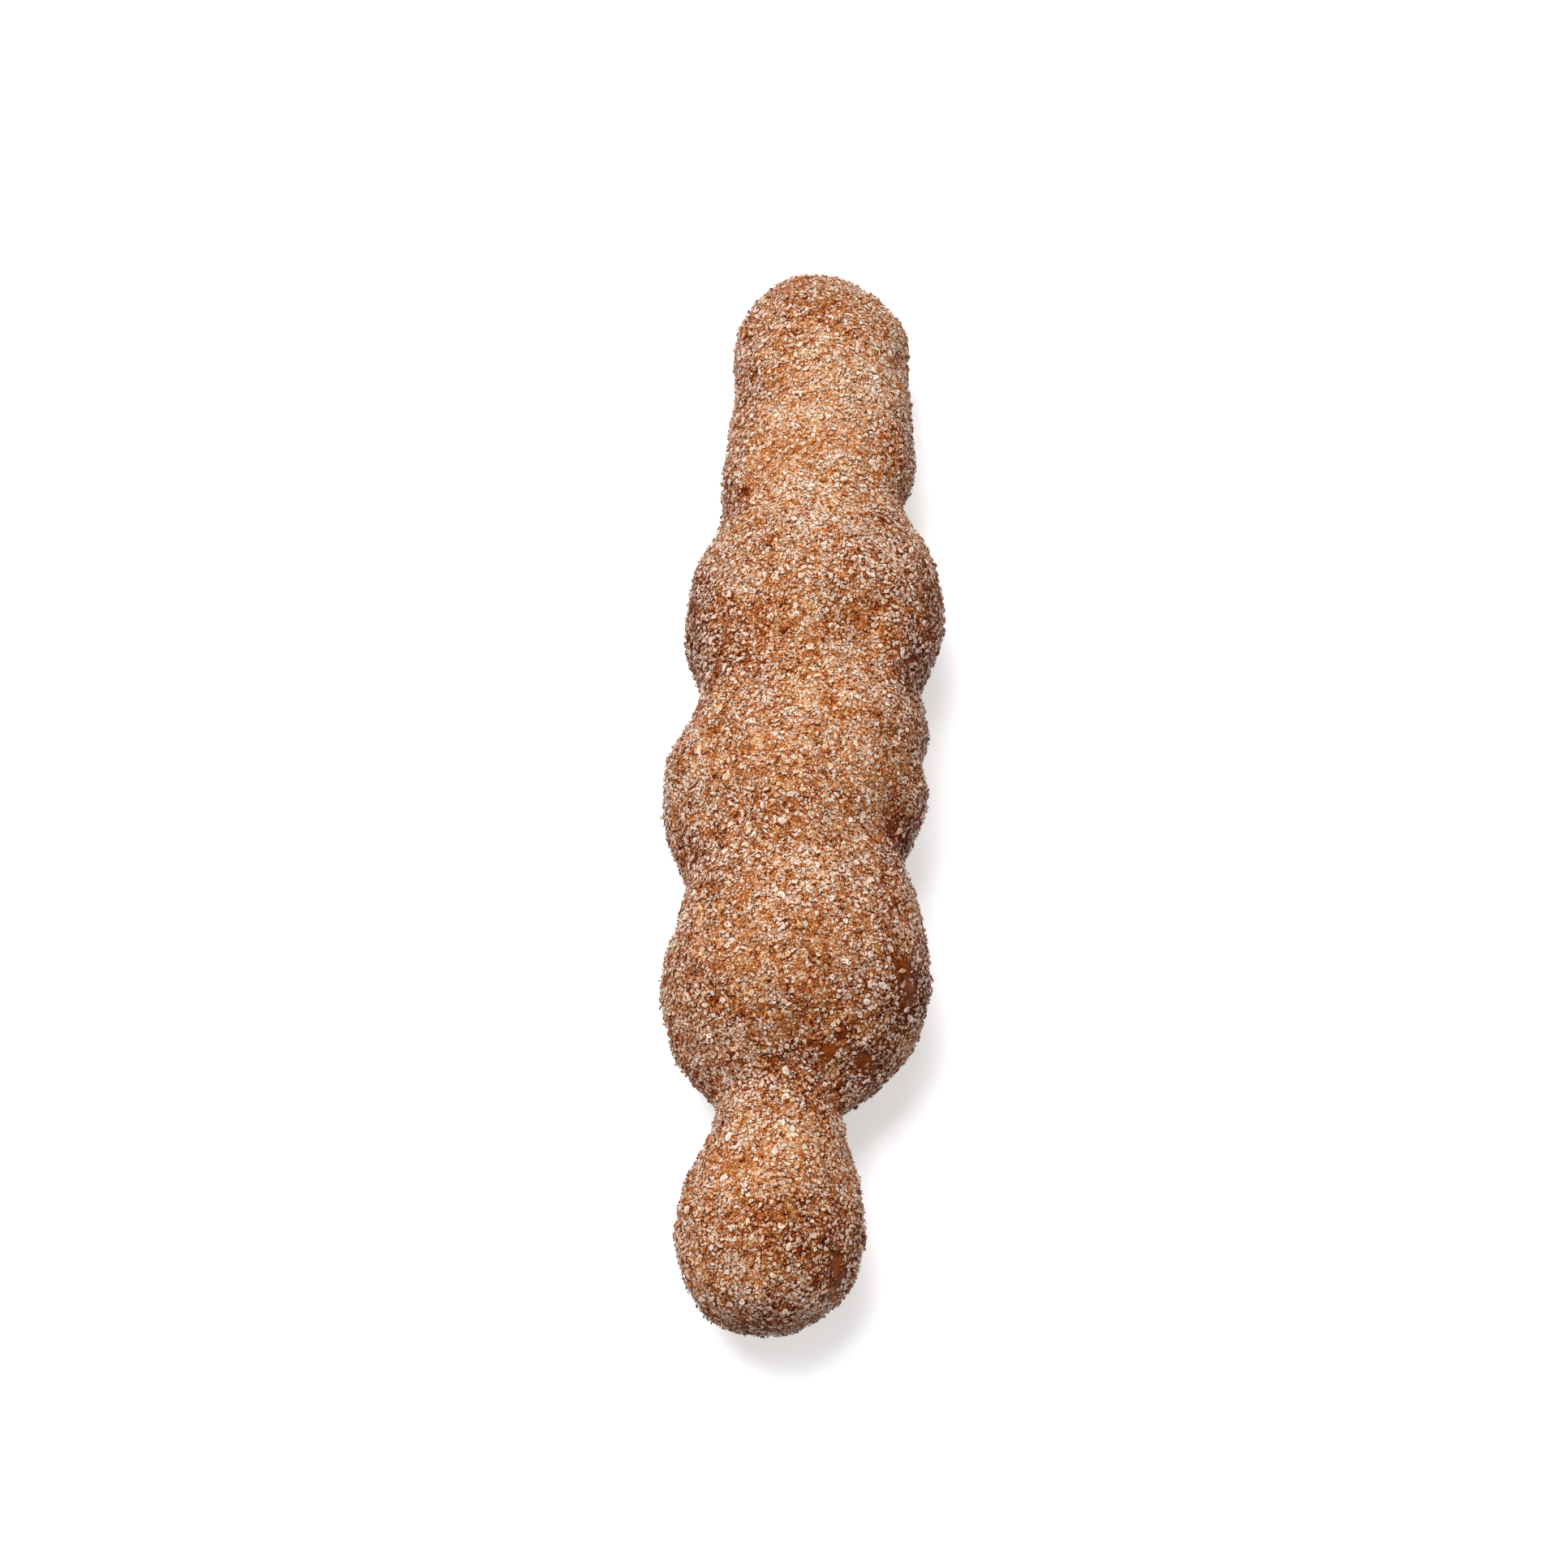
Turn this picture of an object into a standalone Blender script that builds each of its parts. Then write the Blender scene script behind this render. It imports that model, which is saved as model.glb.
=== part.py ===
"""A sugared churro: one thick stick of fried dough that has puffed up into a row of rounded lobes.

It lies on its side with its length along Y, the tapered end towards +Y and the pear-shaped end towards -Y.
The origin is on the surface it rests on, under the middle of its bounding box.
"""

from math import atan2, cos, exp, pi, radians, sin
from typing import NamedTuple

import bmesh
import bpy
from mathutils import Matrix, Vector, noise

MM = 0.001  # every size below is in millimetres

# The stick as a whole
CORE_HEIGHT = 16.3  # the line through the lobes' centres, above the surface it rests on
END_DROOP = 2.8  # how much lower that line runs at the two ends
TIP_BEND = 1.8  # how far it turns aside, to -X, at the tapered end
BEND_SPAN = 70.0  # how far from the middle it has drooped and turned that much
SIDE_JOIN = 10.0  # how sharp the creases between the lobes are at the sides and underneath
TOP_JOIN = 4.5  # and on top, where they are shallow
UNEVENNESS = 0.45  # how far the dough swells and dips at random
UNEVEN_SPAN = 9.0  # the distance from one such swelling to the next
NOISE_SHIFT = Vector((3.7, 11.2, 5.9))  # picks the run of swellings
BUMPS_FROM = 8.0  # nearer the core than this, at the tips, swellings and dips fade out

# The mesh
RINGS = 110
SIDES = 44
EVEN_RINGS = 0.62  # the share of even spacing; the rest crowds the rings towards the round ends

DOUGH_COLOUR = (0.47, 0.20, 0.075, 1.0)
DOUGH_ROUGHNESS = 0.75


class Lobe(NamedTuple):
    """One puffed lobe, measured from the line through the lobes' centres."""

    at: float  # its widest place along Y
    left: float  # how far it swells to -X
    right: float  # how far it swells to +X
    up: float
    down: float
    far: float  # its half-length towards +Y, if it stood alone
    near: float  # its half-length towards -Y
    far_fullness: float  # 2 is an ellipse, less is more pointed and more is blunter
    near_fullness: float
    lean: float = 0.0  # how much further along its right side is than its middle
    rise: float = 0.0  # how much further along its top is


class Swelling(NamedTuple):
    """A blister that stands out of the dough, or a dent where the height is negative."""

    at: float
    angle: float  # round the stick in degrees: 0 is +X, 90 is up and 180 is -X
    height: float
    length: float
    width: float


TIP = Lobe(
    at=75.5, left=13.0, right=12.6, up=11.8, down=11.2,
    far=13.8, near=21.5, far_fullness=2.0, near_fullness=2.1,
)
COLLAR = Lobe(
    at=54.5, left=14.0, right=14.2, up=12.6, down=12.2,
    far=29.0, near=13.5, far_fullness=1.8, near_fullness=2.0, lean=2.5,
)
SHOULDER = Lobe(
    at=30.5, left=18.4, right=19.0, up=17.0, down=16.8,
    far=22.5, near=18.0, far_fullness=1.95, near_fullness=2.2, lean=1.5,
)
BELLY = Lobe(
    at=5.0, left=19.7, right=18.3, up=17.0, down=16.9,
    far=21.0, near=21.5, far_fullness=1.75, near_fullness=2.0, lean=2.0, rise=3.0,
)
HIP = Lobe(
    at=-27.0, left=17.6, right=20.3, up=17.3, down=17.0,
    far=27.5, near=19.5, far_fullness=2.0, near_fullness=1.8, lean=0.5, rise=4.0,
)
KNOB = Lobe(
    at=-60.0, left=12.7, right=13.4, up=12.4, down=11.8,
    far=27.5, near=15.7, far_fullness=1.4, near_fullness=2.4,
)
LOBES = (TIP, COLLAR, SHOULDER, BELLY, HIP, KNOB)

SWELLINGS = (
    # The tip slopes off on one side, above a blunt corner
    Swelling(at=84.0, angle=50, height=-0.8, length=4.0, width=5.0),
    Swelling(at=78.0, angle=20, height=1.3, length=3.0, width=5.0),
    # The collar bulges over the crease on its left
    Swelling(at=45.5, angle=174, height=1.1, length=4.0, width=6.0),
    # A ridge runs down the shoulder between two hollows, with a puffed cheek on either side
    Swelling(at=20.5, angle=110, height=-1.4, length=4.5, width=4.0),
    Swelling(at=22.0, angle=62, height=-1.7, length=5.5, width=4.5),
    Swelling(at=17.0, angle=146, height=1.0, length=7.0, width=6.0),
    Swelling(at=20.0, angle=34, height=0.6, length=7.0, width=6.0),
    Swelling(at=16.5, angle=355, height=1.5, length=4.5, width=8.0),
    # The creases bite deeper at the sides
    Swelling(at=11.0, angle=172, height=-0.9, length=3.0, width=7.0),
    Swelling(at=8.5, angle=2, height=-1.8, length=2.8, width=8.0),
    Swelling(at=-18.0, angle=178, height=-1.0, length=4.0, width=9.0),
    Swelling(at=-49.0, angle=174, height=-1.1, length=4.0, width=8.0),
    # A short fold across the belly, and the knob's flattened cheek
    Swelling(at=-6.0, angle=62, height=-0.5, length=2.5, width=7.0),
    Swelling(at=-76.0, angle=0, height=-1.6, length=5.0, width=7.0),
)


def clear_scene():
    for old in list(bpy.data.objects):
        bpy.data.objects.remove(old)


def reach(lobe, angle):
    """How far the widest ring is from its centre at this angle: a quarter ellipse in each quarter."""
    sideways = lobe.right if cos(angle) >= 0 else lobe.left
    upright = lobe.up if sin(angle) >= 0 else lobe.down
    return 1 / ((cos(angle) / sideways) ** 2 + (sin(angle) / upright) ** 2) ** 0.5


def swell(lobe, along):
    """The share of a lobe's reach that is left at this distance from its widest place."""
    if along >= 0:
        share, fullness = along / lobe.far, lobe.far_fullness
    else:
        share, fullness = -along / lobe.near, lobe.near_fullness
    return max(0.0, 1 - share**fullness) ** (1 / fullness)


def lobed_radius(along, angle):
    """The distance from the core to the skin, where the lobes run into each other with soft creases."""
    join = SIDE_JOIN + (TOP_JOIN - SIDE_JOIN) * max(0.0, sin(angle)) ** 2
    total = 0.0
    for lobe in LOBES:
        widest = lobe.at + lobe.lean * cos(angle) + lobe.rise * max(0.0, sin(angle))
        total += (reach(lobe, angle) * swell(lobe, along - widest)) ** join
    return total ** (1 / join)


def swellings_at(along, angle, radius):
    """The height of the blisters and dents here. Round the stick, distance is measured along the skin."""
    height = 0.0
    for spot in SWELLINGS:
        turn = (angle - radians(spot.angle) + pi) % (2 * pi) - pi
        off = ((along - spot.at) / spot.length) ** 2 + (turn * radius / spot.width) ** 2
        height += spot.height * exp(-off)
    return height


def core(along):
    """The middle of the stick at this place: it droops at both ends and turns aside at the tapered one."""
    share = along / BEND_SPAN
    aside = -TIP_BEND * max(0.0, share) ** 2
    return Vector((aside, along, CORE_HEIGHT - END_DROOP * share**2))


def skin_point(along, angle):
    """A point of the dough's skin, in millimetres."""
    radius = lobed_radius(along, angle)
    outward = Vector((cos(angle), 0.0, sin(angle)))
    bump = swellings_at(along, angle, radius)
    bump += UNEVENNESS * noise.noise((core(along) + outward * radius) / UNEVEN_SPAN + NOISE_SHIFT)
    radius += bump * min(1.0, radius / BUMPS_FROM)
    point = core(along) + outward * radius
    point.z = max(0.0, point.z)
    return point


def station(ring):
    """The place along Y of a ring, counted as a share from the near tip, 0, to the far tip, 1."""
    near_tip = KNOB.at - KNOB.near
    far_tip = TIP.at + TIP.far
    crowded = (1 - cos(pi * ring)) / 2
    share = EVEN_RINGS * ring + (1 - EVEN_RINGS) * crowded
    return near_tip + (far_tip - near_tip) * share


def dough_mesh():
    """A UV sphere with its poles on Y, whose every vertex is moved out to the dough's skin."""
    bm = bmesh.new()
    bmesh.ops.create_uvsphere(bm, u_segments=SIDES, v_segments=RINGS, radius=1.0)
    bmesh.ops.rotate(bm, verts=bm.verts, cent=Vector(), matrix=Matrix.Rotation(radians(90), 3, "X"))
    for vertex in bm.verts:
        on_ball = vertex.co
        ring = atan2((on_ball.x**2 + on_ball.z**2) ** 0.5, -on_ball.y) / pi
        angle = atan2(on_ball.z, on_ball.x)
        vertex.co = skin_point(station(ring), angle) * MM
    across = [vertex.co.x for vertex in bm.verts]
    along = [vertex.co.y for vertex in bm.verts]
    to_middle = Vector((-(min(across) + max(across)) / 2, -(min(along) + max(along)) / 2, 0))
    bmesh.ops.translate(bm, verts=bm.verts, vec=to_middle)
    bmesh.ops.recalc_face_normals(bm, faces=bm.faces)
    mesh = bpy.data.meshes.new("churro")
    bm.to_mesh(mesh)
    bm.free()
    mesh.shade_smooth()
    return mesh


def dough_material():
    material = bpy.data.materials.new("sugared_dough")
    material.use_nodes = True
    shader = material.node_tree.nodes["Principled BSDF"]
    shader.inputs["Base Color"].default_value = DOUGH_COLOUR
    shader.inputs["Roughness"].default_value = DOUGH_ROUGHNESS
    shader.inputs["Metallic"].default_value = 0.0
    return material


def main():
    clear_scene()
    churro = bpy.data.objects.new("churro", dough_mesh())
    churro.data.materials.append(dough_material())
    bpy.context.scene.collection.objects.link(churro)


main()
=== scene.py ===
"""A sugared churro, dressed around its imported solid: browned dough under a crust of sugar and cinnamon."""

from math import cos, pi, radians, sin
from typing import NamedTuple

import bpy
import numpy as np
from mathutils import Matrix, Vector, kdtree, noise


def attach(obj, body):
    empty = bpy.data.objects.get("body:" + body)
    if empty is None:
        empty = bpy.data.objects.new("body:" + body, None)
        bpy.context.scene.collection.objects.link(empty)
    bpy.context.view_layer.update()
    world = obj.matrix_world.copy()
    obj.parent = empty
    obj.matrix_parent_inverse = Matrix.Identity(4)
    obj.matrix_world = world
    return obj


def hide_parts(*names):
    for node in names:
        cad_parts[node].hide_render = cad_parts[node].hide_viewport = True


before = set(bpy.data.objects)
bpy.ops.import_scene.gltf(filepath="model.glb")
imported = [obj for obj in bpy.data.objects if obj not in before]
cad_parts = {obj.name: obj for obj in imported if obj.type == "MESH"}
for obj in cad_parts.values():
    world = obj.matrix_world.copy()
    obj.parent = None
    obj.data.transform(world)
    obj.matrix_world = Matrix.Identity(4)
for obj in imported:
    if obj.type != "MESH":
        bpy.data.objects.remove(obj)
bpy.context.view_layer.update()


# ---------------------------------------------------------------------------------------------------------
# The dough: one thick stick of fried dough that has puffed up into lobes. Its crust is golden on top and
# browned on the bulges and at the sides, which fried the longest; on the sides painted shade darkens it
# further, the more the skin turns away from straight up. It has blisters, small pits and a short crack
# with painted shade in them, and a few bare and glossy spots that no sugar stuck to.

MM = 0.001
SUGAR_DEPTH = 0.3 * MM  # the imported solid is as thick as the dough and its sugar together
DOUGH_CLEARANCE = 0.05 * MM  # the dough itself stays this far above the floor
SAME_PLACE = 0.002 * MM  # vertices nearer than this are one
SKIN_MESH = 0.475 * MM  # the spacing of the skin's vertices
PIT_DEPTH = 0.7 * MM
SIDES_BROWNED_AND_SHADED = 0.55  # how much darker the sides are than the top: partly browning, partly painted shade
PALEST, BROWNEST = -0.4, 1.2  # the limits of how brown it gets


class Patch(NamedTuple):
    """A round spot of the crust: its middle and its radius, in millimetres, and how strong it is."""

    x: float
    y: float
    z: float
    radius: float
    strength: float = 1.0


BARE_SPOTS = (
    # On the hip's cheek, and in a row above the waist
    Patch(16.2, -33.4, 25.7, 2.5),
    Patch(17.0, -35.7, 23.9, 2.7),
    Patch(8.3, -42.9, 25.7, 1.2),
    Patch(1.5, -45.3, 24.8, 1.0, 0.8),
    Patch(6.4, -45.2, 23.9, 1.5),
    Patch(11.6, -45.1, 21.2, 1.7),
    Patch(13.0, -45.4, 19.0, 1.3, 0.8),
    Patch(7.9, -48.3, 19.4, 1.0),
    # On the side of the belly
    Patch(13.1, -11.1, 23.1, 2.2, 0.7),
    # On the knob's cheek, where they run into one
    Patch(9.7, -73.9, 20.2, 2.0),
    Patch(10.2, -75.5, 18.3, 2.4),
    Patch(9.6, -77.2, 16.8, 1.9),
    # Low down at the sides, and underneath
    Patch(-12.0, -50.5, 14.0, 1.6),
    Patch(-17.5, -24.0, 10.5, 2.2, 0.8),
    Patch(16.5, 33.0, 9.0, 2.4, 0.8),
    Patch(3.0, -60.0, 2.6, 3.0, 0.7),
    Patch(-3.0, 52.0, 2.8, 2.6, 0.7),
)
BROWNED = (  # where the crust is browner than most, or paler where the strength is negative
    # The tip and the collar
    Patch(0.0, 58.0, 24.0, 22.0, -0.3),
    Patch(-4.0, 71.0, 24.0, 5.0, 0.3),
    Patch(-12.0, 62.0, 21.0, 8.0, 0.3),
    Patch(5.0, 56.0, 25.5, 7.5, -0.5),
    Patch(11.8, 52.5, 19.0, 5.0, 0.7),
    Patch(-10.0, 44.5, 24.5, 4.0, -0.4),
    Patch(8.5, 44.0, 23.0, 3.5, -0.3),
    Patch(-2.0, 41.0, 27.0, 8.0, -0.2),
    Patch(1.8, 39.5, 27.8, 3.0, -0.25),
    Patch(-14.0, 40.0, 19.0, 4.5, 0.6),
    Patch(9.0, 37.0, 26.0, 4.0, 0.35),
    # The shoulder
    Patch(-17.0, 25.0, 23.5, 4.0, 0.35),
    Patch(5.0, 24.0, 32.0, 4.0, 0.3),
    Patch(16.5, 24.5, 22.0, 5.0, 0.6),
    Patch(-17.5, 18.0, 21.0, 7.0, 0.6),
    Patch(-11.0, 12.5, 28.0, 4.5, 0.4),
    Patch(11.7, 21.1, 28.3, 3.5, 0.4),
    Patch(-5.9, 17.8, 31.0, 3.0, -0.1),
    Patch(9.0, 17.0, 28.5, 4.0, -0.3),
    Patch(5.0, 10.5, 30.5, 3.5, -0.3),
    Patch(14.5, 15.5, 24.0, 4.0, 0.4),
    Patch(15.5, 12.0, 21.0, 5.0, 0.8),
    Patch(2.0, 4.0, 32.0, 7.0, -0.4),
    # The belly
    Patch(10.5, -5.0, 29.0, 5.0, -0.4),
    Patch(-5.0, -4.0, 32.5, 4.0, -0.2),
    Patch(-15.0, -4.0, 27.5, 4.5, -0.3),
    Patch(-16.2, -12.0, 22.9, 3.5, -0.2),
    Patch(-13.5, -17.0, 23.0, 5.0, 0.4),
    Patch(15.5, -11.0, 20.0, 5.0, 0.6),
    Patch(13.5, -17.1, 25.4, 3.0, 0.45),
    Patch(-3.0, -15.0, 31.5, 5.0, 0.2),
    Patch(1.0, -21.0, 32.5, 4.0, -0.3),
    Patch(-3.5, -20.5, 32.0, 3.5, 0.25),
    # The hip
    Patch(-4.8, -25.2, 32.6, 3.0, -0.2),
    Patch(10.5, -29.3, 30.7, 3.0, -0.3),
    Patch(17.2, -41.3, 16.7, 4.0, -0.4),
    Patch(-15.0, -40.4, 20.7, 4.0, -0.3),
    Patch(13.0, -31.5, 29.0, 3.5, 0.3),
    Patch(8.0, -36.0, 30.0, 4.0, 0.2),
    Patch(-4.0, -37.0, 31.0, 4.0, -0.2),
    Patch(-10.0, -41.5, 26.5, 4.0, 0.35),
    Patch(-1.5, -48.5, 22.0, 4.5, 0.25),
    Patch(18.5, -35.0, 21.5, 5.5, 0.9),
    Patch(13.0, -45.0, 19.5, 5.0, 0.6),
    Patch(3.0, -48.0, 22.5, 5.0, 0.4),
    Patch(-6.5, -46.0, 23.5, 4.0, -0.3),
    # The knob
    Patch(0.0, -66.0, 22.0, 16.0, -0.25),
    Patch(6.2, -53.6, 21.8, 3.0, 0.2),
    Patch(-6.4, -62.6, 24.7, 3.5, -0.25),
    Patch(10.6, -59.2, 18.9, 3.0, -0.3),
    Patch(5.9, -73.0, 24.0, 3.5, 0.3),
    Patch(2.1, -80.8, 19.2, 4.0, 0.3),
    Patch(0.5, -70.5, 26.0, 4.5, 0.5),
    Patch(10.5, -70.0, 20.0, 5.0, 0.5),
    Patch(6.0, -68.0, 25.0, 4.0, 0.35),
    Patch(-7.5, -70.5, 23.5, 3.5, 0.3),
    Patch(-9.0, -78.0, 17.5, 4.0, -0.4),
    Patch(6.5, -79.5, 18.0, 2.5, -0.3),
    Patch(0.0, -82.5, 13.0, 4.0, 0.6),
)
PITS = (
    Patch(-3.8, 64.8, 25.9, 0.5),
    Patch(-1.7, 60.2, 26.5, 0.35),
    Patch(0.1, 57.2, 26.7, 0.4),
    Patch(3.2, 42.0, 26.6, 0.4),
    Patch(-11.1, 43.7, 23.6, 0.45),
    Patch(-0.7, 7.7, 31.9, 0.45),
    Patch(1.5, 8.0, 31.8, 0.35),
    # These four run into a short crack on the knob, along the edge of its bare spot
    Patch(8.0, -72.1, 22.8, 0.6),
    Patch(8.8, -72.3, 22.1, 0.75),
    Patch(9.6, -72.4, 21.3, 0.75),
    Patch(10.3, -72.7, 20.4, 0.6),
)


def away_from(patch, places):
    """How far each place is from the patch's middle, where 1 is its radius."""
    middle = np.array([patch.x, patch.y, patch.z]) * MM
    return np.linalg.norm(places - middle, axis=1) / (patch.radius * MM)


def felt(places, patches, spread=1.0):
    """How strongly patches with a clear edge are felt at each place. They can be spread wider."""
    fades = [patch.strength * np.exp(-((away_from(patch, places) / spread) ** 4)) for patch in patches]
    return np.max(fades, axis=0)


def drifted(places, patches):
    """The sum of patches that run into each other softly, where some add and some take away."""
    return sum(patch.strength * np.exp(-(away_from(patch, places) ** 2)) for patch in patches)


def browning_and_side_shade_at(places, outward):
    """How brown the crust is at each place, about 0 on top and 1 in the darkest patches. Painted shade is
    added on the sides, the more as they turn away from straight up.
    """
    # painted shade, partly browning: the crust darkens as the skin turns away from straight up
    turned_away = np.clip(1 - outward[:, 2], 0, 1)
    return np.clip(drifted(places, BROWNED) + SIDES_BROWNED_AND_SHADED * turned_away, PALEST, BROWNEST)


def finish_with(kind, **settings):
    """Adds a modifier to the active piece and applies it."""
    modifier = bpy.context.object.modifiers.new(kind.lower(), kind)
    for name, value in settings.items():
        setattr(modifier, name, value)
    bpy.ops.object.modifier_apply(modifier=modifier.name)


def relief(name, size, height, octaves):
    """Raises and lowers the active piece's skin by a noise whose swellings are about this size."""
    swellings = bpy.data.textures.new(name, "CLOUDS")
    swellings.noise_scale = size
    swellings.noise_depth = octaves
    finish_with("DISPLACE", texture=swellings, texture_coords="LOCAL", strength=height, mid_level=0.5)


def vertex_places(mesh):
    places = np.empty(len(mesh.vertices) * 3)
    mesh.vertices.foreach_get("co", places)
    return places.reshape(-1, 3)


def vertex_normals(mesh):
    normals = np.empty(len(mesh.vertices) * 3)
    mesh.vertex_normals.foreach_get("vector", normals)
    return normals.reshape(-1, 3)


def set_vertex_values(mesh, **values):
    """Gives each vertex the values that its material reads."""
    for name, value in values.items():
        mesh.attributes.new(name, "FLOAT", "POINT").data.foreach_set("value", value)


dough = bpy.data.objects.new("dough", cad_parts["churro"].data.copy())
bpy.context.scene.collection.objects.link(dough)
dough.data.materials.clear()
bpy.ops.object.select_all(action="DESELECT")
dough.select_set(True)
bpy.context.view_layer.objects.active = dough
bpy.ops.object.mode_set(mode="EDIT")
bpy.ops.mesh.select_all(action="SELECT")
bpy.ops.mesh.remove_doubles(threshold=SAME_PLACE)
bpy.ops.mesh.tris_convert_to_quads()
bpy.ops.transform.shrink_fatten(value=-SUGAR_DEPTH)
bpy.ops.object.mode_set(mode="OBJECT")
finish_with("SUBSURF", levels=1, render_levels=1)
finish_with("REMESH", mode="VOXEL", voxel_size=SKIN_MESH, use_smooth_shade=True)
finish_with("SMOOTH", factor=0.5, iterations=4)
relief("puffs", size=6.5 * MM, height=0.9 * MM, octaves=1)
relief("blisters", size=2.4 * MM, height=0.5 * MM, octaves=1)
relief("crust", size=0.8 * MM, height=0.22 * MM, octaves=2)

skin = vertex_places(dough.data)
outward = vertex_normals(dough.data)
pitted = felt(skin, PITS)
skin -= outward * (PIT_DEPTH * pitted)[:, None]
skin[:, 2] = np.maximum(skin[:, 2], DOUGH_CLEARANCE)
dough.data.vertices.foreach_set("co", skin.ravel())
dough.data.update()
bare = felt(skin, BARE_SPOTS)
# the crust's browning, with painted shade added on the sides, goes to the materials
set_vertex_values(dough.data, bare=bare, pitted=pitted, browned=browning_and_side_shade_at(skin, outward))


def srgb(red, green, blue):
    """A colour as it looks, from 0 to 255, as the numbers a shader needs."""
    parts = [part / 255 for part in (red, green, blue)]
    return tuple(p / 12.92 if p <= 0.04045 else ((p + 0.055) / 1.055) ** 2.4 for p in parts) + (1.0,)


class Shade:
    """An output of a material's nodes. Sums and products of these add Math nodes."""

    def __init__(self, tree, socket=None):
        self.tree = tree
        self.socket = socket

    def node(self, kind, settings=None, inputs=None, output=0):
        """Adds a node, sets it up, and gives its sockets their values or links."""
        made = self.tree.nodes.new(kind)
        for name, value in (settings or {}).items():
            if name == "stops":
                for _ in value[2:]:  # a new ramp already has two
                    made.color_ramp.elements.new(0.5)
                for element, (position, colour) in zip(made.color_ramp.elements, value):
                    element.position = position
                    element.color = colour
            else:
                setattr(made, name, value)
        for name, value in (inputs or {}).items():
            if isinstance(value, Shade):
                self.tree.links.new(value.socket, made.inputs[name])
            else:
                made.inputs[name].default_value = value
        return Shade(self.tree, made.outputs[output])

    def maths(self, operation, *values, clamp=False):
        settings = {"operation": operation, "use_clamp": clamp}
        return self.node("ShaderNodeMath", settings, dict(enumerate(values)))

    def __add__(self, other):
        return self.maths("ADD", self, other)

    def __sub__(self, other):
        return self.maths("SUBTRACT", self, other)

    def __rsub__(self, other):
        return self.maths("SUBTRACT", other, self)

    def __mul__(self, other):
        return self.maths("MULTIPLY", self, other)

    __radd__ = __add__
    __rmul__ = __mul__

    def held(self):
        """This value, kept between 0 and 1."""
        return self.maths("ADD", self, 0.0, clamp=True)

    def between(self, low, high):
        """0 below low, 1 above high and a smooth step from one to the other."""
        settings = {"interpolation_type": "SMOOTHSTEP"}
        return self.node("ShaderNodeMapRange", settings, {"Value": self, 1: low, 2: high})

    def mix(self, low, high):
        """The colour low where this is 0, and high where it is 1."""
        inputs = {0: self, 6: low, 7: high}  # its factor and its two colours
        return self.node("ShaderNodeMix", {"data_type": "RGBA"}, inputs, output=2)

    def ramp(self, *stops):
        return self.node("ShaderNodeValToRGB", {"stops": stops}, {"Fac": self})

    def attribute(self, name):
        return self.node("ShaderNodeAttribute", {"attribute_name": name}, output="Fac")

    def noise(self, where, size, detail=2.0, roughness=0.5):
        inputs = {"Vector": where, "Scale": 1 / size, "Detail": detail, "Roughness": roughness}
        return self.node("ShaderNodeTexNoise", None, inputs, output="Fac")


def new_material(name):
    """A material, its nodes to build on, and its Principled node."""
    material = bpy.data.materials.new(name)
    material.use_nodes = True
    return material, Shade(material.node_tree), material.node_tree.nodes["Principled BSDF"]


def wear(piece, material, principled, colour, roughness, normal=None):
    """Links what changes over the surface to the Principled node, and gives the piece its material."""
    tree = material.node_tree
    tree.links.new(colour.socket, principled.inputs["Base Color"])
    tree.links.new(roughness.socket, principled.inputs["Roughness"])
    if normal:
        tree.links.new(normal.socket, principled.inputs["Normal"])
    piece.data.materials.clear()
    piece.data.materials.append(material)


CRUST_COLOURS = (  # from the darkest, painted shade in the cracks between the crumbs, to the palest crumbs
    (0.0, srgb(84, 30, 8)),
    (0.28, srgb(154, 72, 24)),
    (0.55, srgb(208, 138, 72)),
    (0.85, srgb(240, 202, 160)),
)
DARK_GLAZE, LIGHT_GLAZE = srgb(70, 22, 4), srgb(150, 74, 22)  # of the bare spots
# painted shade in the pits and the crack, which lie in holes
PIT_SHADE = srgb(66, 24, 10)
CRUMB = 0.4 * MM  # the size of the sugar and crumbs that are too fine to tell apart
CLUMP = 1.3 * MM
BLOTCH = 5 * MM
WRINKLE = 0.5 * MM
CRUMB_HEIGHT = WRINKLE_HEIGHT = 0.1 * MM
CRUST_SHINE = 0.05


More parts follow.
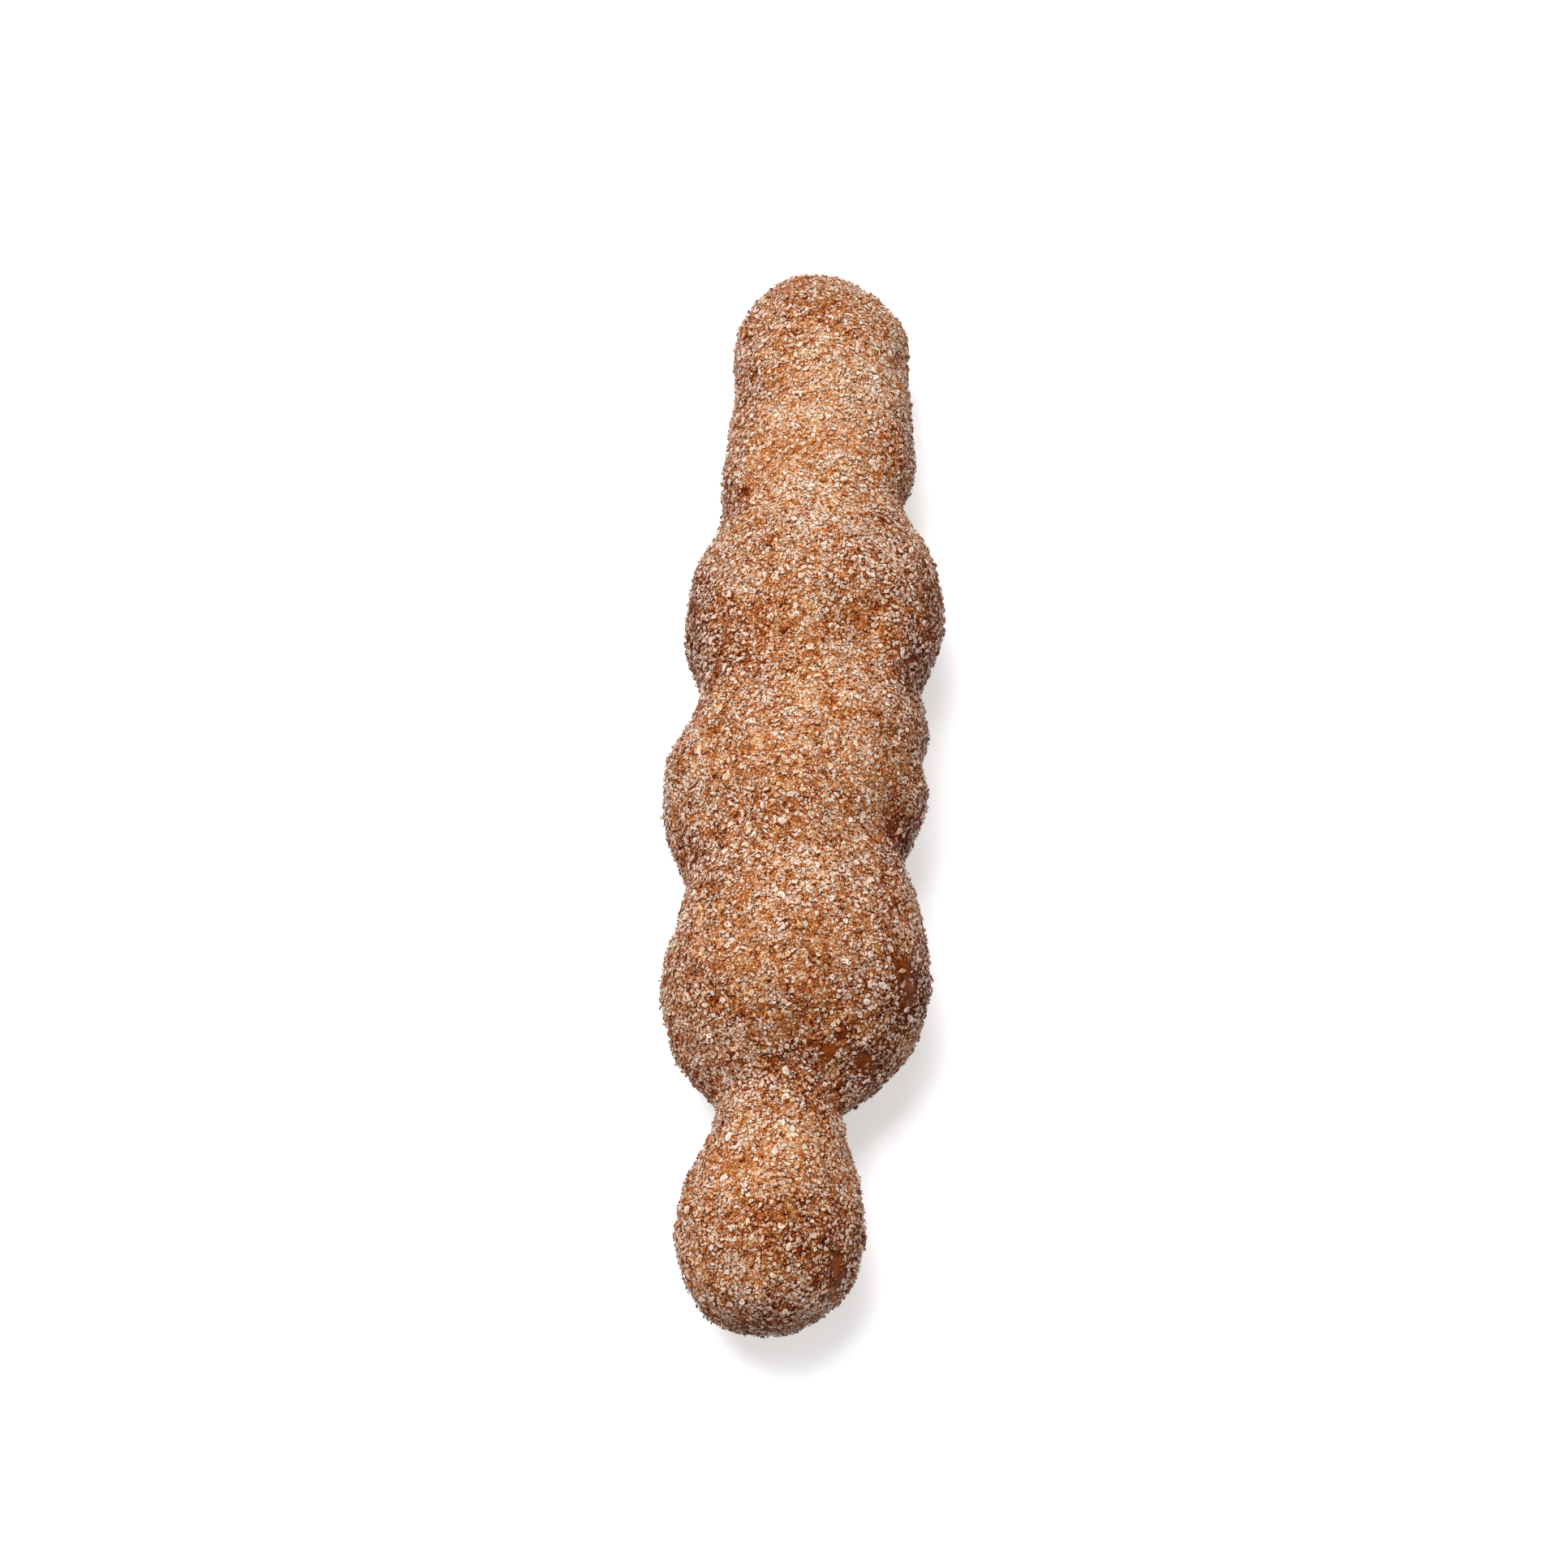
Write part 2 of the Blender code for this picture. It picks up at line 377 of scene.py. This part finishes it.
def dress_dough():
    """A rough crust of crumbs half melted together, which is smooth and glossy where it is bare. Shade is
    painted into the cracks between the crumbs, into the pits and onto the sides.
    """
    material, make, principled = new_material("fried_dough")
    where = make.node("ShaderNodeTexCoord", output="Object")
    is_bare = make.attribute("bare")
    is_pit = make.attribute("pitted")
    # browning, with painted shade added on the sides
    is_browned_and_shaded = make.attribute("browned")

    cells = {"Vector": where, "Scale": 1 / CRUMB, "Randomness": 1.0}
    crack = make.node("ShaderNodeTexVoronoi", {"feature": "DISTANCE_TO_EDGE"}, cells, output="Distance")
    crumb = crack.between(0.02, 0.2) * (1 - is_bare)
    chance = make.node("ShaderNodeTexVoronoi", None, cells, output="Color")
    chance = make.node("ShaderNodeSeparateColor", None, {"Color": chance}, output=0)

    # Each crumb is lighter or darker by chance, in clumps and in blotches, and browner where it fried more.
    # The sides are darker still by painted shade, and so are the cracks between the crumbs.
    clumps = make.noise(where, CLUMP, detail=3.0, roughness=0.6)
    blotches = make.noise(where, BLOTCH)
    tone = chance * 0.4 + clumps * 1.5 + blotches * 0.6 - 0.7
    # painted shade: darker where browned and on the shaded sides, and in the cracks between the crumbs
    tone = tone - is_browned_and_shaded * 0.45 - (1 - crumb) * 0.35
    colour = tone.held().ramp(*CRUST_COLOURS)
    colour = is_bare.mix(colour, clumps.between(0.3, 0.7).mix(DARK_GLAZE, LIGHT_GLAZE))
    # painted shade in each pit
    colour = (is_pit * 0.9).mix(colour, PIT_SHADE)

    wrinkles = make.noise(where, WRINKLE) * (1 - is_bare * 0.4)
    height = wrinkles * WRINKLE_HEIGHT + crumb * CRUMB_HEIGHT
    normal = make.node("ShaderNodeBump", None, {"Height": height, "Strength": 1.0, "Distance": 1.0})
    roughness = 0.62 - is_bare * 0.24 - crumb * 0.15
    principled.inputs["Specular IOR Level"].default_value = CRUST_SHINE
    wear(dough, material, principled, colour, roughness, normal)


dress_dough()
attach(dough, "root")
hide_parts("churro")


# ---------------------------------------------------------------------------------------------------------
# The sugar: broken crystals from plates a millimetre across down to dust, tinged by the cinnamon and the
# oil. Rolled on while the churro was hot, it stuck to the oily crust. Each grain is a small closed shard
# that lies on the dough, part sunk, among the others or on top of them.


class Grain(NamedTuple):
    """One kind of grain. Lengths are in millimetres."""

    name: str
    sides: int  # of the prism that it is cut from
    count: int  # the most that are laid
    smallest: float
    largest: float
    length: float  # of the longest, as a share of its width
    thickness: float  # as a share of its width
    tilt: float  # how far it leans out of the skin's plane, in degrees
    crowding: float  # how far it keeps from its neighbours: 1 is side by side
    on_top: float  # the share that lies on top of other grains
    pale: float = 0.0  # how pale it is as a rule, from 0 to 1
    shy: float = 0.0  # how far it keeps off the browned crust: 1 is altogether
    corners_cut: int = 0
    raised_rim: bool = False


SUGARS = (
    Grain(
        "sugar_plates", sides=6, count=1400, smallest=0.7, largest=1.0, length=1.5, thickness=0.3,
        tilt=12, crowding=0.85, on_top=0.05, pale=0.85, raised_rim=True,
    ),
    Grain(
        "sugar_coarse", sides=5, count=8800, smallest=0.48, largest=0.75, length=1.7, thickness=0.42,
        tilt=18, crowding=0.8, on_top=0.05, pale=0.6, shy=0.2, corners_cut=1,
    ),
    Grain(
        "sugar_cubes", sides=4, count=13000, smallest=0.36, largest=0.55, length=1.8, thickness=0.55,
        tilt=22, crowding=0.8, on_top=0.1, pale=0.42, shy=0.45,
    ),
    Grain(
        "sugar_table", sides=5, count=9000, smallest=0.28, largest=0.42, length=1.9, thickness=0.5,
        tilt=24, crowding=0.8, on_top=0.15, pale=0.35, shy=0.65,
    ),
    Grain(
        "sugar_splinters", sides=3, count=15000, smallest=0.16, largest=0.25, length=2.8, thickness=0.7,
        tilt=20, crowding=0.75, on_top=0.25, pale=0.48, shy=0.5,
    ),
    Grain(
        "sugar_fine", sides=3, count=17000, smallest=0.22, largest=0.34, length=1.5, thickness=0.6,
        tilt=32, crowding=0.7, on_top=0.25, pale=0.25, shy=0.75,
    ),
    Grain(
        "sugar_dust", sides=3, count=10000, smallest=0.14, largest=0.24, length=1.3, thickness=0.8,
        tilt=60, crowding=0.7, on_top=0.5, pale=0.38, shy=0.5,
    ),
)
VARIANTS = 6  # the shards modelled for each kind, which its grains are copies of
SUGARED = (  # where more of it stuck than elsewhere, or less where the strength is negative
    # The tip and the collar
    Patch(5.0, 56.0, 25.5, 6.0, 0.6),
    Patch(-5.0, 47.0, 26.5, 5.0, -0.5),
    Patch(-2.0, 70.0, 25.0, 4.0, -0.4),
    Patch(-3.0, 38.0, 28.5, 3.5, 0.5),
    # The shoulder
    Patch(-1.0, 31.5, 31.0, 4.0, 0.7),
    Patch(9.5, 29.0, 29.5, 5.0, 0.8),
    Patch(-12.0, 23.5, 28.5, 5.0, 0.5),
    Patch(-3.0, 16.0, 31.5, 4.5, -0.6),
    Patch(6.0, 18.0, 30.0, 2.5, -0.7),
    Patch(15.5, 24.5, 24.0, 3.5, -0.6),
    # The belly
    Patch(-15.5, -7.5, 25.5, 4.5, 0.5),
    Patch(-7.5, -6.0, 31.5, 5.0, -0.5),
    Patch(12.5, -1.0, 28.0, 4.0, -0.6),
    Patch(13.0, -11.0, 23.5, 4.0, -0.8),
    Patch(1.0, -21.0, 32.5, 4.0, 0.6),
    # The hip
    Patch(-9.5, -34.0, 30.0, 3.5, -0.5),
    Patch(3.5, -33.5, 32.0, 5.5, -0.7),
    Patch(10.0, -33.5, 30.5, 3.5, 0.4),
    Patch(5.0, -43.0, 26.5, 4.0, -0.6),
    Patch(-7.0, -46.5, 22.5, 4.5, 0.5),
    # The knob
    Patch(-3.0, -64.5, 26.0, 5.0, -0.6),
    Patch(-1.0, -73.0, 25.5, 5.0, -0.4),
    Patch(6.0, -79.5, 18.5, 3.0, 0.5),
)
DRIFT = 2.6 * MM  # the size of the patches where sugar lies thick or thin by chance
USUAL, THINNEST, THICKEST = 0.75, 0.25, 1.4  # how thick it lies there
BY_CHANCE, BY_PLACE = 0.9, 0.2  # how much drifts and the places above add or take away
BARED = 0.94  # the share of its grains that a bare spot lost
PIT_RIM = 1.8  # grains keep off a pit as far as this many times its radius
CRUSTY = 1.4  # for shy grains, the browned crust and the sides darkened by painted shade count as this much browner

FEW_SIDED, MANY_SIDED = 0.6, 0.52  # the foot's radius, which makes each shard about 1 across
TAPER = 0.78  # the top's radius as a share of the foot's
KNOCKED = 0.2  # how far the corners are pushed out of place at random
RIM_SLOPE, RIM_RISE = 0.08, 0.2  # the slope up to a plate's rim: its width, and its share of the thickness
RIM_WIDTH, DISH = 0.1, 0.12  # and the slope down from it to the middle
CUT_AT, CUT_SLANT = 0.42, 0.9  # how far from the middle a corner is cut off, and the steepest cut
PALE_FROM = 0.7  # the painted light at the rim is brightest from this share of the foot's radius


def crystal(kind, seed):
    """Models one shard about 1 across, flat side down. Returns its vertices and its triangles, and for each
    vertex how near the rim it is, from 0 in the middle to 1, and how high, from 0 at the foot to 1."""
    foot = MANY_SIDED if kind.sides > 4 else FEW_SIDED
    bpy.ops.object.select_all(action="DESELECT")
    bpy.ops.mesh.primitive_cone_add(vertices=kind.sides, radius1=foot, radius2=TAPER * foot, depth=1.0)
    shard = bpy.context.object
    bpy.ops.object.mode_set(mode="EDIT")
    bpy.ops.mesh.select_mode(type="FACE")
    bpy.ops.mesh.select_all(action="SELECT")
    bpy.ops.transform.vertex_random(offset=KNOCKED, uniform=1.0, seed=seed)
    bpy.ops.transform.resize(value=(1, 1, kind.thickness))
    bpy.ops.mesh.select_all(action="DESELECT")
    bpy.ops.object.mode_set(mode="OBJECT")
    top = max(shard.data.polygons, key=lambda face: face.center.z)
    top.select = True
    bpy.ops.object.mode_set(mode="EDIT")
    if kind.raised_rim:
        bpy.ops.mesh.inset(thickness=RIM_SLOPE)
        bpy.ops.transform.translate(value=(0, 0, RIM_RISE * kind.thickness))
        bpy.ops.mesh.inset(thickness=RIM_WIDTH)
        bpy.ops.transform.translate(value=(0, 0, -DISH * kind.thickness))
    if kind.sides > 3:
        bpy.ops.mesh.poke(offset=0.0)  # a vertex in the middle lets the painted light at the rim fade towards the middle
    draw = np.random.default_rng(seed)
    for _ in range(kind.corners_cut):
        turn = draw.random() * 2 * pi
        slope = Vector((cos(turn), sin(turn), draw.uniform(-CUT_SLANT, CUT_SLANT))).normalized()
        bpy.ops.mesh.select_all(action="SELECT")
        bpy.ops.mesh.bisect(plane_co=slope * CUT_AT, plane_no=slope, use_fill=True, clear_outer=True)
    bpy.ops.mesh.select_all(action="SELECT")
    bpy.ops.mesh.normals_make_consistent(inside=False)
    bpy.ops.mesh.quads_convert_to_tris()
    bpy.ops.object.mode_set(mode="OBJECT")
    corners = vertex_places(shard.data)
    triangles = np.array([face.vertices[:] for face in shard.data.polygons])
    bpy.data.objects.remove(shard)
    from_middle = np.linalg.norm(corners[:, :2], axis=1)
    height = (corners[:, 2] - corners[:, 2].min()) / np.ptp(corners[:, 2])
    return corners, triangles, np.clip(from_middle / (PALE_FROM * foot), 0, 1), height


# The dough's triangles, which way each faces, and how well sugar sticks to it
dough.data.calc_loop_triangles()
skin_triangles = np.empty(len(dough.data.loop_triangles) * 3, np.int32)
dough.data.loop_triangles.foreach_get("vertices", skin_triangles)
skin_triangles = skin_triangles.reshape(-1, 3)
outward = vertex_normals(dough.data)
first, second, third = (skin[skin_triangles[:, corner]] for corner in range(3))
middles = (first + second + third) / 3
crosses = np.cross(second - first, third - first)
areas = np.linalg.norm(crosses, axis=1) / 2
facing = crosses / (2 * areas[:, None])
drifts = np.array([noise.noise(Vector(middle) / DRIFT) for middle in middles])
laid = USUAL + BY_CHANCE * drifts + BY_PLACE * drifted(middles, SUGARED)
sticky = areas * np.clip(laid, THINNEST, THICKEST)
sticky *= (1 - BARED * felt(middles, BARE_SPOTS)) * (1 - felt(middles, PITS, spread=PIT_RIM))
# shy grains keep off the browned crust and off the sides darkened by painted shade
crusty_and_shaded = np.clip(browning_and_side_shade_at(middles, facing) * CRUSTY, 0, 1)

rng = np.random.default_rng(41)
lying = []  # for each kind that lies there already: a search tree, its reaches and the widest of them


def sites(count, shy):
    """Random places on the dough, by area and by how well sugar sticks there, and which way is out."""
    likely = sticky * (1 - shy * crusty_and_shaded)
    triangle = rng.choice(len(areas), count, p=likely / likely.sum())
    shares = rng.dirichlet((1, 1, 1), count)
    corners = skin_triangles[triangle]
    places = np.einsum("ij,ijk->ik", shares, skin[corners])
    normals = np.einsum("ij,ijk->ik", shares, outward[corners])
    return places, normals / np.linalg.norm(normals, axis=1)[:, None]


def search_tree(spots):
    tree = kdtree.KDTree(len(spots))
    for rank, spot in enumerate(spots):
        tree.insert(spot, rank)
    tree.balance()
    return tree


def settle(places, reaches, on_top, wanted):
    """Which of the places are far enough from every grain that lies there, taken in turn. Grains on top
    of the others only keep clear of their own kind."""
    free = np.ones(len(places), bool)
    for tree, others, widest in lying:
        for rank in np.flatnonzero(free & ~on_top):
            near = tree.find_range(places[rank], reaches[rank] + widest)
            free[rank] = all(gap >= reaches[rank] + others[other] for _, other, gap in near)

    still_free = np.flatnonzero(free)
    spots, reaches = places[still_free], reaches[still_free]
    tree = search_tree(spots)
    widest = reaches.max()
    free = np.ones(len(spots), bool)
    kept = []
    for rank, spot in enumerate(spots):
        if not free[rank]:
            continue
        kept.append(rank)
        if len(kept) == wanted:
            break
        for _, other, gap in tree.find_range(spot, reaches[rank] + widest):
            if other > rank and gap < reaches[rank] + reaches[other]:
                free[other] = False
    lying.append((search_tree(spots[kept]), reaches[kept], reaches[kept].max()))
    return still_free[kept]


CHOICE = 4  # how many places are tried for each grain
SMALL_ONES = 1.5  # above 1, there are more small grains of a kind than large ones
FLAT, HIGH = 0.7, 1.2  # the flattest and the highest grain, as shares of its kind's thickness
PROUD = 0.35  # how far out of the dough its middle is at most, as a share of its thickness
STEP_UP = (0.15, 0.4)  # how much further out a grain on top of others is, in millimetres
LEAN_PARTS = 1.5  # a lean is the sum of three parts at right angles, each this much less than the tilt
SUGAR_CLEARANCE = 0.02 * MM  # a grain that would be nearer the floor than this is left out
UV_MARGIN = 0.1  # left free round a grain, as a share of its square of the UV map


def turned(normals, tilt):
    """A frame for each grain: spun at random, lying flat on the skin but for a random tilt."""
    count = len(normals)
    lean = rng.normal(0, np.tan(radians(tilt)) / LEAN_PARTS, (count, 3))
    up = normals + lean
    up /= np.linalg.norm(up, axis=1)[:, None]
    side = np.cross(up, rng.normal(size=(count, 3)))
    side /= np.linalg.norm(side, axis=1)[:, None]
    return np.stack((side, np.cross(up, side), up), axis=2)


def join(kind, places, frames, looks, shapes):
    """Copies the kind's shards to their places, and joins them into one piece that carries their looks."""
    parts = []
    start = 0
    across = int(np.ceil(len(places) ** 0.5))  # each grain has its own square of the UV map
    for variant in range(VARIANTS):
        shard, triangles, edge, height = crystal(kind, seed=10 * variant + kind.sides)
        mine = np.flatnonzero(shapes == variant)
        corners = np.einsum("nij,vj->nvi", frames[mine], shard) + places[mine][:, None, :]
        above = corners[:, :, 2].min(axis=1) > SUGAR_CLEARANCE
        mine, corners = mine[above], corners[above]
        steps = start + np.arange(len(mine)) * len(shard)
        square = np.stack((mine % across, mine // across), axis=1)
        flat = (shard[:, :2] - shard[:, :2].min(0)) / np.ptp(shard[:, :2], axis=0)
        inside = UV_MARGIN + (1 - 2 * UV_MARGIN) * flat
        parts.append({
            "corners": corners.reshape(-1, 3),
            "triangles": (triangles[None] + steps[:, None, None]).reshape(-1, 3),
            "owners": np.repeat(mine, len(shard)),
            "edge": np.tile(edge, len(mine)),
            "height": np.tile(height, len(mine)),
            "uv": ((square[:, None] + inside[None]) / across).reshape(-1, 2),
        })
        start += len(mine) * len(shard)
    whole = {name: np.concatenate([part[name] for part in parts]) for name in parts[0]}
    mesh = bpy.data.meshes.new(kind.name)
    mesh.from_pydata(whole["corners"], [], whole["triangles"])
    set_vertex_values(mesh, **{name: look[whole["owners"]] for name, look in looks.items()})
    set_vertex_values(mesh, edge=whole["edge"], height=whole["height"])
    uv = whole["uv"][whole["triangles"].ravel()]
    mesh.uv_layers.new(name="OFBake").data.foreach_set("uv", uv.ravel())
    piece = bpy.data.objects.new(kind.name, mesh)
    bpy.context.scene.collection.objects.link(piece)
    return piece


def scatter(kind):
    """Lays grains of one kind on the dough and joins them into one piece."""
    places, normals = sites(kind.count * CHOICE, kind.shy)
    widths = kind.smallest + (kind.largest - kind.smallest) * rng.random(len(places)) ** SMALL_ONES
    widths = widths * MM
    stretch = rng.uniform(1, kind.length, len(places))
    reaches = widths * (1 + stretch) / 4 * kind.crowding  # about half of its width and length's mean
    on_top = rng.random(len(places)) < kind.on_top
    kept = settle(places, reaches, on_top, kind.count)
    places, normals, on_top = places[kept], normals[kept], on_top[kept]
    widths, stretch = widths[kept], stretch[kept]

    count = len(kept)
    heights = widths * rng.uniform(FLAT, HIGH, count)
    rise = widths * kind.thickness * rng.uniform(0.0, PROUD, count)
    rise += np.where(on_top, rng.uniform(*STEP_UP, count) * MM, 0)
    places = places + normals * rise[:, None]
    sizes = np.stack((widths * stretch, widths, heights), axis=1)
    frames = turned(normals, kind.tilt) * sizes[:, None, :]
    looks = {
        "tint": rng.random(count),
        # how brown the crust under it is, with painted shade added on the sides
        "browned": browning_and_side_shade_at(places, normals),
        "sugared": drifted(places, SUGARED),
    }
    shapes = rng.integers(VARIANTS, size=count)
    return join(kind, places, frames, looks, shapes)


GOLDEN_SUGAR = (  # on golden crust, from the grains most soaked with oil and cinnamon to the palest
    (0.0, srgb(202, 122, 62)),
    (0.35, srgb(220, 164, 112)),
    (0.65, srgb(222, 188, 152)),
    (0.9, srgb(216, 200, 182)),
)
BROWN_SUGAR = (  # and on browned crust, and on the sides where painted shade darkens it
    (0.0, srgb(126, 58, 22)),
    (0.35, srgb(174, 106, 66)),
    (0.65, srgb(204, 153, 124)),
    (0.9, srgb(214, 184, 168)),
)
# painted light caught at each crystal's rim
GOLDEN_RIM_LIGHT, BROWN_RIM_LIGHT = srgb(255, 243, 224), srgb(252, 226, 206)
# painted shade between the grains, with the crust's colour showing through, at each grain's foot
GOLDEN_FOOT_SHADE, BROWN_FOOT_SHADE = srgb(162, 76, 26), srgb(90, 32, 10)
SUGAR_CLUMP = 1.5 * MM
GLINT_SIZE = 0.22 * MM  # the size of the paler flecks in a grain, painted glints and reflections inside it
SUGAR_SHINE = 0.15


def dress_sugar(piece, pale):
    """Crystals, each with its own tint, with paler flecks as painted glints inside them and painted light at
    the rim. At the foot they are darker, partly by the crust's colour showing through and partly by painted
    shade between the grains.
    """
    material, make, principled = new_material(piece.name)
    where = make.node("ShaderNodeTexCoord", output="Object")
    drift = make.noise(where, BLOTCH) + make.noise(where, SUGAR_CLUMP, detail=1.0) * 2.2 - 1.6
    # painted glints: paler flecks inside each crystal; the same noise varies the roughness
    glint_noise = make.noise(where, GLINT_SIZE)
    painted_glints = glint_noise.between(0.3, 0.62) * 0.45 - 0.3
    by_place = make.attribute("sugared") * 0.45 + pale - 0.42
    paleness = (make.attribute("tint") + drift + painted_glints + by_place).held()
    # browner colours on browned crust and on the sides, where this carries painted shade
    browned = (make.attribute("browned") * 0.8 + 0.2).held()
    heart = browned.mix(paleness.ramp(*GOLDEN_SUGAR), paleness.ramp(*BROWN_SUGAR))
    # painted light at the rim, brighter on paler grains
    rim_light = make.attribute("edge").between(0.6, 1.0) * (paleness * 0.9)
    colour = rim_light.mix(heart, browned.mix(GOLDEN_RIM_LIGHT, BROWN_RIM_LIGHT))
    # painted shade: darker towards the foot, between the grains
    foot_shade = (1 - make.attribute("height")).between(0.1, 0.8) * 0.9
    colour = foot_shade.mix(colour, browned.mix(GOLDEN_FOOT_SHADE, BROWN_FOOT_SHADE))
    roughness = 0.3 + glint_noise * 0.3
    principled.inputs["Specular IOR Level"].default_value = SUGAR_SHINE
    wear(piece, material, principled, colour, roughness)


for kind in SUGARS:
    grains = scatter(kind)
    dress_sugar(grains, kind.pale)
    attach(grains, "root")


# ---------------------------------------------------------------------------------------------------------
# The cinnamon: ground bark, in dark red-brown specks about as large as the finest sugar. It was mixed into
# the sugar before the churro was rolled in it, so its specks lie between the crystals and on top of them.

CINNAMON = Grain(
    "cinnamon", sides=3, count=6000, smallest=0.12, largest=0.3, length=1.6, thickness=0.6,
    tilt=50, crowding=0.5, on_top=0.4,
)
DARK_BARK, LIGHT_BARK = srgb(78, 28, 10), srgb(160, 80, 36)
BARK_SHINE = 0.1


def dress_cinnamon(piece):
    """Dull specks, each with its own shade of brown."""
    material, make, principled = new_material(piece.name)
    tint = make.attribute("tint")
    colour = tint.ramp((0.0, DARK_BARK), (1.0, LIGHT_BARK))
    principled.inputs["Specular IOR Level"].default_value = BARK_SHINE
    wear(piece, material, principled, colour, 0.6 + tint * 0.2)


cinnamon = scatter(CINNAMON)
dress_cinnamon(cinnamon)
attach(cinnamon, "root")


# ---------------------------------------------------------------------------------------------------------
# The stage: a pale floor, one large soft lamp up and to the left, and white fill from all round. The camera
# looks steeply down along the churro from its pear-shaped end.

FLOOR_SIZE = 6.0
FLOOR_GLOW = 0.45  # lifts the floor to white, except in the churro's shadow
FILL_ABOVE, FILL_BELOW = 0.36, 0.48  # the fill's strength from straight up, and from the horizon down
LAMP_PLACE = (-0.22, 0.17, 0.84)  # it points at the origin
LAMP_SIZE = 0.55
LAMP_POWER = 8.3
AIM = Vector((-2.8, -2.2, 16.2)) * MM  # the camera looks at this place, from these angles and this far
AZIMUTH, ELEVATION = radians(4.22), radians(66)
DISTANCE = 0.65
LENS = 105.0

bpy.ops.object.select_all(action="DESELECT")
bpy.ops.mesh.primitive_plane_add(size=FLOOR_SIZE)
floor = bpy.context.object
floor.name = "floor"


def dress_floor():
    """Matt white, with the faintest unevenness."""
    material, make, principled = new_material("pale_floor")
    where = make.node("ShaderNodeTexCoord", output="Object")
    colour = make.noise(where, 0.4).mix(srgb(244, 244, 244), srgb(248, 248, 248))
    roughness = make.noise(where, 0.2) * 0.1 + 0.8
    principled.inputs["Emission Color"].default_value = (1.0, 1.0, 1.0, 1.0)
    principled.inputs["Emission Strength"].default_value = FLOOR_GLOW
    wear(floor, material, principled, colour, roughness)


dress_floor()
floor.visible_diffuse = False  # the light that the floor throws back is the lower half of the fill


def light_from_all_round():
    """A white world that is plain white to the camera, and dimmer as a light."""
    sky = bpy.data.worlds.new("white_fill")
    sky.use_nodes = True
    make = Shade(sky.node_tree)
    where = make.node("ShaderNodeTexCoord", output="Generated")
    height = make.node("ShaderNodeSeparateXYZ", None, {"Vector": where}, output=2)
    fill = height.between(-0.1, 1.0) * (FILL_ABOVE - FILL_BELOW) + FILL_BELOW
    seen = make.node("ShaderNodeLightPath", output="Is Camera Ray")
    strength = fill * (1 - seen) + seen
    background = sky.node_tree.nodes["Background"]
    background.inputs["Color"].default_value = (1.0, 1.0, 1.0, 1.0)
    sky.node_tree.links.new(strength.socket, background.inputs["Strength"])
    bpy.context.scene.world = sky


light_from_all_round()
lamp = bpy.data.objects.new("key_lamp", bpy.data.lights.new("key_lamp", "AREA"))
lamp.data.size = LAMP_SIZE
lamp.data.energy = LAMP_POWER
lamp.location = LAMP_PLACE
lamp.rotation_euler = (-lamp.location).to_track_quat("-Z", "Y").to_euler()
bpy.context.scene.collection.objects.link(lamp)
bpy.context.scene.view_settings.view_transform = "Standard"

back = Vector((sin(AZIMUTH) * cos(ELEVATION), -cos(AZIMUTH) * cos(ELEVATION), sin(ELEVATION)))
camera = bpy.data.objects.new("camera", bpy.data.cameras.new("camera"))
camera.data.lens = LENS
camera.location = AIM + back * DISTANCE
camera.rotation_euler = (-back).to_track_quat("-Z", "Y").to_euler()
bpy.context.scene.collection.objects.link(camera)
bpy.context.scene.camera = camera
